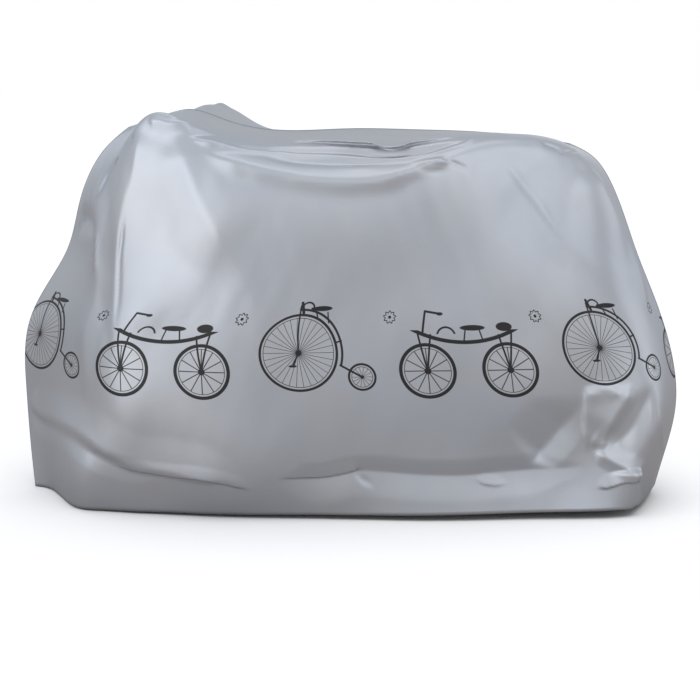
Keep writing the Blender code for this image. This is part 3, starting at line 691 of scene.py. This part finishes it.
# The drawings, in metres from the middle of each. They face -x.
HIGH_WHEELER = {
    "wheels": [
        # centre, tyre and rim (radius, half width), spokes (radius, half width, count), hub, pale
        ((-0.040, -0.018), (0.100, 0.0034), (0.0915, 0.0009), (0.091, 0.0007, 30), 0.008, 0.097),
        ((0.121, -0.084), (0.034, 0.0030), (0.027, 0.0008), (0.027, 0.0006, 14), 0.005, 0.031),
    ],
    "arcs": [
        # centre, radius, half width, facing (degrees), half angle (degrees)
        ((-0.040, -0.018), 0.114, 0.0030, 38, 56),     # backbone round the wheel
        ((-0.026, 0.098), 0.017, 0.0024, 75, 75),      # bend of the handlebar
    ],
    "strokes": [
        # start, end, half width
        ((0.067, -0.052), (0.121, -0.084), 0.0028),    # foot of the backbone
        ((-0.046, 0.106), (-0.040, -0.018), 0.0023),   # fork
        ((-0.036, 0.088), (-0.044, 0.114), 0.0040),    # head
        ((-0.004, 0.094), (0.004, 0.076), 0.0018),     # spring of the saddle
        ((0.030, 0.088), (0.036, 0.060), 0.0018),
        ((-0.040, -0.018), (-0.054, -0.050), 0.0024),  # crank
        ((0.058, 0.008), (0.072, 0.012), 0.0022),      # step
    ],
    "blobs": [
        # centre, half length, half height
        ((0.014, 0.098), 0.027, 0.0068),               # saddle
        ((-0.010, 0.098), 0.008, 0.0045),              # grip
        ((-0.056, -0.053), 0.011, 0.0034),             # pedal
    ],
}
WALKING_MACHINE = {
    "wheels": [
        ((x, -0.046), (0.070, 0.0046), (0.0605, 0.0009), (0.060, 0.0013, 12), 0.009, 0.066)
        for x in (-0.108, 0.108)
    ],
    "arcs": [
        ((0.000, 0.330), 0.300, 0.0052, -90, 27),      # the sagging beam
        ((-0.050, 0.046), 0.024, 0.0026, 90, 75),      # arm rest
    ],
    "strokes": [
        ((-0.108, -0.046), (-0.092, 0.050), 0.0026),   # front stays
        ((-0.108, -0.046), (-0.126, 0.056), 0.0026),
        ((0.108, -0.046), (0.090, 0.048), 0.0026),     # rear stays
        ((0.108, -0.046), (0.126, 0.056), 0.0026),
        ((-0.112, 0.058), (-0.104, 0.112), 0.0030),    # steering post
        ((-0.104, 0.112), (-0.068, 0.106), 0.0030),    # tiller
        ((0.002, 0.062), (-0.004, 0.034), 0.0020),     # saddle irons
        ((0.040, 0.062), (0.046, 0.036), 0.0020),
    ],
    "blobs": [
        ((0.022, 0.068), 0.034, 0.0075),               # saddle
        ((-0.064, 0.105), 0.009, 0.0045),              # grip
        ((0.108, 0.070), 0.022, 0.0120),               # rolled bag
    ],
}
PRINT_PITCH = 0.40         # from one drawing to the next
PRINT_START = 0.115        # where the first drawing stands behind the nose seam
PRINT_STEP = 0.012         # drawings stand this much above and below the middle by turns
PRINT_SOFT = 0.0006        # blur of the ink's edge
COG_RADIUS, COG_TOOTH, COG_TEETH, COG_LINE = 0.0140, 0.0022, 9, 0.0017
COG_HUB = 0.3              # share of its radius that the filled hub takes
COG_HEIGHT = 0.085         # of the cogs over the middle of the band


def nearest_of(tree, distances):
    result = distances[0]
    for distance in distances[1:]:
        result = maths(tree, "MINIMUM", result, distance)
    return result


def drawing_group(name, drawing):
    """A whole drawing: the distances to its dark lines and to its pale wheels."""
    group, given, out = new_group(name, {"Point": "Vector"},
                                  {"Line": "Float", "Wheel": "Float"})

    def drawn(kind, centre, **values):
        return place_group(group, kind, point=given["Point"], centre=(*centre, 0),
                           **values)["Distance"]

    def blob(centre, half_length, half_height):
        return drawn(BLOB, centre, radius=half_height, stretch=(half_height / half_length, 1, 0))

    def arc(centre, radius, half_width, facing=0, half_angle=180):
        way = math.radians(facing)
        whole = half_angle == 180
        least = -1 if whole else radius * math.cos(math.radians(half_angle))
        return drawn(ARC, centre, radius=radius, half_width=half_width, least=least,
                     facing=(math.cos(way), math.sin(way), 0))

    lines = [arc(*row) for row in drawing["arcs"]] + [blob(*row) for row in drawing["blobs"]]
    wheels = []
    for centre, tyre, rim, spokes, hub, pale in drawing["wheels"]:
        reach, half_width, count = spokes
        lines += [arc(centre, *tyre), arc(centre, *rim), blob(centre, hub, hub),
                  drawn(SPOKES, centre, radius=reach, half_width=half_width, count=count)]
        wheels.append(blob(centre, pale, pale))
    for start, end, half_width in drawing["strokes"]:
        span = (end[0] - start[0], end[1] - start[1], 0)
        lines.append(drawn(STROKE, start, span=span, half_width=half_width))
    group.links.new(nearest_of(group, lines), out["Line"])
    group.links.new(nearest_of(group, wheels), out["Wheel"])
    return group


def print_group():
    """The printed band from metres of cloth: how much dark and how much pale ink."""
    group, given, out = new_group("printed_band", {"Cloth": "Vector"},
                                  {"Dark ink": "Float", "Pale ink": "Float"})
    along, up = parts_of(group, given["Cloth"])
    from_start = maths(group, "SUBTRACT", along, PRINT_START)
    lines, wheels = [], []
    for turn, (name, drawing) in enumerate((("high_wheeler", HIGH_WHEELER),
                                            ("walking_machine", WALKING_MACHINE))):
        shifted = maths(group, "ADD", from_start, PRINT_PITCH * (1 - turn))
        place = maths(group, "SUBTRACT", maths(group, "FLOORED_MODULO", shifted,
                                               2 * PRINT_PITCH), PRINT_PITCH)
        height = maths(group, "SUBTRACT", up, PRINT_STEP * (1 - 2 * turn))
        point = feed(group, add(group, "ShaderNodeCombineXYZ"), place, height)
        drawn = place_group(group, drawing_group(name, drawing), point=point)
        lines.append(drawn["Line"])
        wheels.append(drawn["Wheel"])
    place = maths(group, "SUBTRACT", maths(group, "FLOORED_MODULO", from_start, PRINT_PITCH),
                  PRINT_PITCH / 2)
    height = maths(group, "SUBTRACT", up, COG_HEIGHT)
    from_middle = vectors(group, "LENGTH",
                          feed(group, add(group, "ShaderNodeCombineXYZ"), place, height))
    teeth = maths(group, "SINE", maths(group, "MULTIPLY",
                                       maths(group, "ARCTAN2", height, place), COG_TEETH))
    rim = maths(group, "MULTIPLY_ADD", teeth, COG_TOOTH, COG_RADIUS)
    lines.append(maths(group, "SUBTRACT", maths(
        group, "ABSOLUTE", maths(group, "SUBTRACT", from_middle, rim)), COG_LINE))
    lines.append(maths(group, "SUBTRACT", from_middle, COG_RADIUS * COG_HUB))
    for distances, name in ((lines, "Dark ink"), (wheels, "Pale ink")):
        edge = add(group, "ShaderNodeMapRange", interpolation_type="SMOOTHSTEP")
        ink = feed(group, edge, nearest_of(group, distances), -PRINT_SOFT, PRINT_SOFT, 1, 0)
        group.links.new(ink, out[name])
    return group


# ---------------------------------------------------------------------------
# The film itself.
# Embossed silver film with a soft metallic sheen: pigment that varies a little in tone,
# a fine grain that rolls press into it, and the small creases of a cover that was
# folded in its bag. Its inner face is the same film, unprinted and duller.
# ---------------------------------------------------------------------------

FILM_COLOUR = (0.54, 0.57, 0.625, 1)
FILM_WARM = (0.565, 0.58, 0.615, 1)
INNER_COLOUR = (0.55, 0.56, 0.58, 1)
DARK_INK = (0.014, 0.014, 0.016, 1)
PALE_INK = (0.66, 0.67, 0.68, 1)
PALE_INK_COVER = 0.30

# The noises in the film, in metres of cloth
NOISES = [
    # times in a metre, detail, distortion
    (520, 1, 0),           # grain
    (16, 3, 0.6),          # cockle
    (2.2, 2, 0),           # tone
]
GRAIN_DEPTH = 0.00007
COCKLE_DEPTH = 0.0016
TONE_RANGE = (0.35, 0.65)
MARKS_A_METRE = 9          # fold marks, from the bag
MARK_WIDTH = 0.05          # share of the field between two marks
MARK_DEPTH = 0.00016
MARK_BEND = 0.05


def relief_group():
    """Relief of used film in metres of cloth: pressed grain, fold marks and cockle."""
    group, given, out = new_group("film_relief", {"Cloth": "Vector", "Creasing": "Float"},
                                  {"Height": "Float", "Tone": "Float"})
    grain, cockle, tone = (
        feed(group, add(group, "ShaderNodeTexNoise", noise_dimensions="2D"),
             vector=given["Cloth"], scale=scale, detail=detail, distortion=distortion)
        for scale, detail, distortion in NOISES)
    bend = vectors(group, "SCALE", cockle.node.outputs["Color"], MARK_BEND)
    marks = feed(group, add(group, "ShaderNodeTexVoronoi", voronoi_dimensions="2D",
                            feature="DISTANCE_TO_EDGE"),
                 vector=vectors(group, "ADD", given["Cloth"], bend), scale=MARKS_A_METRE)
    mark = feed(group, add(group, "ShaderNodeMapRange", interpolation_type="SMOOTHSTEP"),
                marks, 0, MARK_WIDTH, -1, 0)
    worn = maths(group, "MULTIPLY", mark, MARK_DEPTH)
    low = maths(group, "MULTIPLY_ADD", cockle, COCKLE_DEPTH, worn)
    low = maths(group, "MULTIPLY", low, given["Creasing"])
    height = maths(group, "MULTIPLY_ADD", grain, GRAIN_DEPTH, low)
    group.links.new(height, out["Height"])
    group.links.new(tone, out["Tone"])
    return group


RELIEF = relief_group()


def film_finish(name, colour, warm, roughness, metallic, creasing, printed=None):
    """Silver film. `printed` is the group that gives the ink on it."""
    film = bpy.data.materials.new(name)
    film.use_nodes = True
    tree = film.node_tree
    cloth = add(tree, "ShaderNodeUVMap", uv_map="Cloth").outputs["UV"]
    relief = place_group(tree, RELIEF, cloth=cloth, creasing=creasing)
    shade = feed(tree, add(tree, "ShaderNodeMapRange"), relief["Tone"], *TONE_RANGE, 0, 1)
    coats = [(shade, warm)]
    if printed:
        ink = place_group(tree, printed, cloth=cloth)
        coats += [(maths(tree, "MULTIPLY", ink["Pale ink"], PALE_INK_COVER), PALE_INK),
                  (ink["Dark ink"], DARK_INK)]
        metallic = maths(tree, "MULTIPLY", maths(tree, "SUBTRACT", 1, ink["Dark ink"]), metallic)
    pigment = colour
    for cover, tint in coats:
        pigment = feed(tree, add(tree, "ShaderNodeMix", data_type="RGBA"),
                       factor=cover, a=pigment, b=tint)
    normal = feed(tree, add(tree, "ShaderNodeBump"), strength=1, distance=1,
                  height=relief["Height"])
    feed(tree, tree.nodes["Principled BSDF"], base_color=pigment, metallic=metallic,
         roughness=roughness, normal=normal)
    return film


outer_film = film_finish("film_printed", FILM_COLOUR, FILM_WARM, roughness=0.45,
                         metallic=0.75, creasing=0.15, printed=print_group())
inner_film = film_finish("film_inside", INNER_COLOUR, INNER_COLOUR, roughness=0.55,
                         metallic=0.15, creasing=1)


PANELS = [
    # name, side, node, flat width and length, flat area
    ("film_near", NEAR, "panel_near", (2.07, 1.45), 2.28),
    ("film_far", FAR, "panel_far", (2.07, 1.45), 2.25),
]
for name, side, node, flat, area in PANELS:
    piece = panel(name, side, (outer_film, inner_film))
    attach(piece, "root")
    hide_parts(node)


# ---------------------------------------------------------------------------
# The tape that seals the seam.
# A strip of the same film, duller, is welded over the seam with a ribbed wheel that leaves
# a row of small ribs across it. It runs up the nose, along the top and down the tail.
# ---------------------------------------------------------------------------

TAPE_WIDTH = 0.013
TAPE_WALL = 0.0006
TAPE_LIFT = 0.0003
TAPE_CROWN = 0.0005      # how far the middle of the strip stands up over its edges
TAPE_CELLS = (620, 6)
SEAM_SAMPLES = 400        # up the nose, along the top and down the tail, each
RIB_PITCH = 0.0042
RIB_RADIUS = 0.00045
RIB_REACH = 0.72         # share of the tape's width that a rib crosses
RIB_SIDES = 6
TAPE_COLOUR = (0.43, 0.455, 0.50, 1)


def seam_path(count):
    """Evenly spaced points of the seam, and the way out of the cover at each."""
    rough = np.linspace(0, 1, SEAM_SAMPLES)
    s = np.concatenate([0 * rough, rough[1:-1], 0 * rough + 1])
    t = np.concatenate([rough, 0 * rough[1:-1] + 1, rough[::-1]])
    seam = draped(NEAR, s, t)
    run = np.concatenate([[0], np.linalg.norm(np.diff(seam, axis=0), axis=1).cumsum()])
    even = np.linspace(0, run[-1], count)
    seam = np.stack([np.interp(even, run, axis) for axis in seam.T], axis=1)
    step = np.gradient(seam, axis=0)
    outward = np.stack([-step[:, 2], 0 * step[:, 0], step[:, 0]], axis=1)
    outward /= np.linalg.norm(outward, axis=1)[:, None]
    return seam, outward, run[-1]


def tape_strip():
    """The strip itself, crowned across its width."""
    seam, outward, _length = seam_path(TAPE_CELLS[0] + 1)
    grid = bmesh.new()
    bmesh.ops.create_grid(grid, x_segments=TAPE_CELLS[0], y_segments=TAPE_CELLS[1], size=0.5)
    flat = np.array([vert.co for vert in grid.verts])
    station = np.rint((flat[:, 0] + 0.5) * TAPE_CELLS[0]).astype(int)
    crown = TAPE_CROWN * (1 - 4 * flat[:, 1] ** 2)
    points = seam[station] + outward[station] * (TAPE_LIFT + crown)[:, None]
    points[:, 1] = flat[:, 1] * TAPE_WIDTH
    for vert, point in zip(grid.verts, hang(points)):
        vert.co = point
    mesh = as_mesh(grid, "tape")
    mesh.shade_smooth()
    strip = in_scene("tape", mesh)
    wall = strip.modifiers.new("wall", "SOLIDIFY")
    wall.thickness = TAPE_WALL
    wall.offset = 1
    return strip


def rib_tree():
    """Ribs across a path: one short bar at each step along it."""
    tree = bpy.data.node_groups.new("weld_ribs", "GeometryNodeTree")
    for name, kind in (("Path", "Geometry"), ("Pitch", "Float"), ("Length", "Float"),
                       ("Radius", "Float"), ("Finish", "Material")):
        tree.interface.new_socket(name=name, in_out="INPUT", socket_type="NodeSocket" + kind)
    tree.interface.new_socket(name="Ribs", in_out="OUTPUT", socket_type="NodeSocketGeometry")
    given = tree.nodes.new("NodeGroupInput").outputs
    line = feed(tree, add(tree, "GeometryNodeMeshToCurve"), mesh=given["Path"])
    spaced = feed(tree, add(tree, "GeometryNodeResampleCurve", mode="LENGTH"),
                  curve=line, length=given["Pitch"])
    half = maths(tree, "DIVIDE", given["Length"], 2)
    start = feed(tree, add(tree, "ShaderNodeCombineXYZ"), y=maths(tree, "MULTIPLY", half, -1))
    end = feed(tree, add(tree, "ShaderNodeCombineXYZ"), y=half)
    middle = feed(tree, add(tree, "GeometryNodeCurvePrimitiveLine"), start=start, end=end)
    ring = feed(tree, add(tree, "GeometryNodeCurvePrimitiveCircle"),
                resolution=RIB_SIDES, radius=given["Radius"])
    bar = feed(tree, add(tree, "GeometryNodeCurveToMesh"),
               curve=middle, profile_curve=ring, fill_caps=True)
    laid = feed(tree, add(tree, "GeometryNodeInstanceOnPoints"), points=spaced, instance=bar)
    real = feed(tree, add(tree, "GeometryNodeRealizeInstances"), geometry=laid)
    done = feed(tree, add(tree, "GeometryNodeSetMaterial"), geometry=real,
                material=given["Finish"])
    tree.links.new(done, tree.nodes.new("NodeGroupOutput").inputs["Ribs"])
    return tree


def tape_ribs(finish):
    """The ribs of the weld, along the crown of the tape."""
    seam, outward, _length = seam_path(TAPE_CELLS[0] + 1)
    crest = hang(seam * (1, 0, 1) + outward * (TAPE_LIFT + TAPE_CROWN + TAPE_WALL))
    path = bpy.data.meshes.new("rib_path")
    path.from_pydata(crest.tolist(), [(i, i + 1) for i in range(TAPE_CELLS[0])], [])
    guide = in_scene("rib_path", path)
    tree = rib_tree()
    ribs = guide.modifiers.new("ribs", "NODES")
    ribs.node_group = tree
    for name, value in (("Pitch", RIB_PITCH), ("Length", TAPE_WIDTH * RIB_REACH),
                        ("Radius", RIB_RADIUS), ("Finish", finish)):
        ribs[tree.interface.items_tree[name].identifier] = value
    depsgraph = bpy.context.evaluated_depsgraph_get()
    mesh = bpy.data.meshes.new_from_object(guide.evaluated_get(depsgraph))
    bpy.data.objects.remove(guide)
    return in_scene("tape_ribs", mesh)


tape_film = film_finish("film_tape", TAPE_COLOUR, TAPE_COLOUR, roughness=0.52,
                        metallic=0.45, creasing=0)
tape = tape_strip()
tape.data.materials.append(tape_film)
ribs = tape_ribs(tape_film)
for piece in (tape, ribs):
    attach(piece, "root")
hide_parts("seam_tape")
seam_path(3)[2]


# ---------------------------------------------------------------------------
# The studio.
# A white floor runs out into a white ground. The film mostly mirrors what stands about it,
# so its lights are large, weak softboxes and a bright sky, and a lamp of its own lights
# the floor. The camera stands a little above the top and looks down at the near side.
# ---------------------------------------------------------------------------

FLOOR_HALF = 60
FLOOR_WHITE = (0.9, 0.9, 0.9, 1)
FLOOR_BOUNCE = (0.31, 0.287, 0.274, 1)   # what the film mirrors of the floor
SKY_WHITE = (1, 1, 1, 1)
SKY_COLOUR = (0.93, 0.96, 1, 1)
SKY_LIGHT = 0.62


def shown(tree, seen, lit, output):
    """Give the camera one shader, and the light that falls on the cover another."""
    path = add(tree, "ShaderNodeLightPath")
    surface = feed(tree, add(tree, "ShaderNodeMixShader"), path.outputs["Is Camera Ray"], lit, seen)
    feed(tree, tree.nodes[output], surface=surface)


floor_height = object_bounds()[0][2]
floor_grid = bmesh.new()
bmesh.ops.create_grid(floor_grid, x_segments=1, y_segments=1, size=FLOOR_HALF)
bmesh.ops.translate(floor_grid, verts=floor_grid.verts, vec=(0, 0, floor_height))
floor = in_scene("floor", as_mesh(floor_grid, "floor"))
paper = bpy.data.materials.new("floor_paper")
paper.use_nodes = True
leaf = paper.node_tree
white, bounce = (feed(leaf, add(leaf, "ShaderNodeBsdfDiffuse"), colour)
                 for colour in (FLOOR_WHITE, FLOOR_BOUNCE))
shown(leaf, white, bounce, "Material Output")
floor.data.materials.append(paper)

world = bpy.data.worlds.new("studio")
bpy.context.scene.world = world
world.use_nodes = True
sky = world.node_tree
shown(sky, feed(sky, sky.nodes["Background"], SKY_WHITE, 1),
      feed(sky, add(sky, "ShaderNodeBackground"), SKY_COLOUR, SKY_LIGHT), "World Output")

AIM = Vector((0, 0, -0.45))
SOFTBOXES = [
    # name, azimuth and elevation seen from AIM, distance, width, height, watts, colour
    ("left_front", -35, 9, 3.4, 2.6, 2.8, 34, (0.95, 0.975, 1)),
    ("right_front", 34, 26, 3.4, 1.6, 2.2, 12, (0.97, 0.985, 1)),
    ("right_side", 92, 12, 3.8, 1.8, 2.0, 8, (0.97, 0.985, 1)),
    ("over_front", 0, 78, 3.2, 2.6, 1.2, 11, (0.97, 0.985, 1)),
    ("left_back", -140, 25, 3.8, 1.5, 1.8, 3, (0.95, 0.975, 1)),
    ("right_back", 150, 25, 3.8, 1.5, 1.8, 4, (0.97, 0.985, 1)),
]


def aimed(name, data, azimuth, elevation, distance):
    """Put a lamp on a sphere about the cover. Azimuth 0 is the camera's side."""
    turn, rise = math.radians(azimuth), math.radians(elevation)
    away = Vector((math.sin(turn) * math.cos(rise), -math.cos(turn) * math.cos(rise),
                   math.sin(rise)))
    lamp = in_scene(name, data)
    lamp.location = AIM + away * distance
    lamp.rotation_euler = (-away).to_track_quat("-Z", "Y").to_euler()
    return lamp


off_paper = bpy.data.collections.new("not_lit_by_softboxes")
off_paper.objects.link(floor)
off_paper.collection_objects[0].light_linking.link_state = "EXCLUDE"
for name, azimuth, elevation, distance, width, height, watts, colour in SOFTBOXES:
    lamp = bpy.data.lights.new(name, "AREA")
    lamp.shape = "RECTANGLE"
    lamp.size, lamp.size_y = width, height
    lamp.energy = watts
    lamp.color = colour
    stand = aimed(name, lamp, azimuth, elevation, distance)
    stand.light_linking.receiver_collection = off_paper

OVERHEAD_LIGHT = 1.9
OVERHEAD_SPREAD = 70       # degrees, for a soft shadow
OVERHEAD_PLACE = {"azimuth": 10, "elevation": 80, "distance": 3}
overhead = bpy.data.lights.new("overhead", "SUN")
overhead.energy = OVERHEAD_LIGHT
overhead.angle = math.radians(OVERHEAD_SPREAD)
lamp = aimed("overhead", overhead, **OVERHEAD_PLACE)
lit_paper = bpy.data.collections.new("lit_by_overhead")
lit_paper.objects.link(floor)
lamp.light_linking.receiver_collection = lit_paper

CAMERA_SENSOR = 36         # mm
CAMERA_LENS = 78.69        # mm
CAMERA_AWAY = 4.2
CAMERA_HEIGHT = 1.2        # above the lowest line of the hem
CAMERA_TILT = 10.6         # degrees down
camera_data = bpy.data.cameras.new("camera")
camera_data.sensor_width = CAMERA_SENSOR
camera_data.lens = CAMERA_LENS
camera_data.clip_end = 4 * FLOOR_HALF
camera = in_scene("camera", camera_data)
camera.location = (0, -CAMERA_AWAY, CAMERA_HEIGHT - SUPPORT_HEIGHT)
camera.rotation_euler = (math.radians(90 - CAMERA_TILT), 0, 0)
bpy.context.scene.camera = camera
bpy.context.scene.view_settings.view_transform = "Standard"
